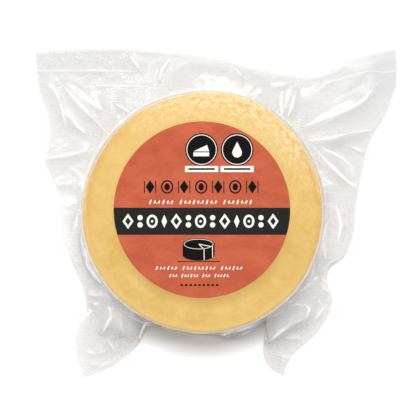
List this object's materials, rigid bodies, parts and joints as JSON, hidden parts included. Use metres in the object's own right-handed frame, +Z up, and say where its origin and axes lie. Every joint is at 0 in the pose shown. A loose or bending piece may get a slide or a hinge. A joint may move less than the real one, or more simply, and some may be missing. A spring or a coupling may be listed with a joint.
{
  "type": "vacuum-packed tete de moine cheese wheel",
  "caption": "Small round cheese wheel with a round label on top, vacuum packed in a clear flat bag with creased flaps.",
  "frame": {"origin": "centre of the wheel's flat underside, on the surface that the pack lies on", "axes": "+Z up through the wheel, +Y towards the top of the label and the bag's straight seam, +X to the right of the label"},
  "size_m": [0.1734, 0.1582, 0.0377],
  "materials": {
    "cheese": "satin, pale golden cheese surface, slightly mottled",
    "label_paper": "matte terracotta paper with a dark band",
    "film": "gloss clear plastic film, creased"
  },
  "bodies": {
    "root": {"cheese_wheel": "cheese", "label": "label_paper", "vacuum_bag": "film"}
  },
  "joints": []
}
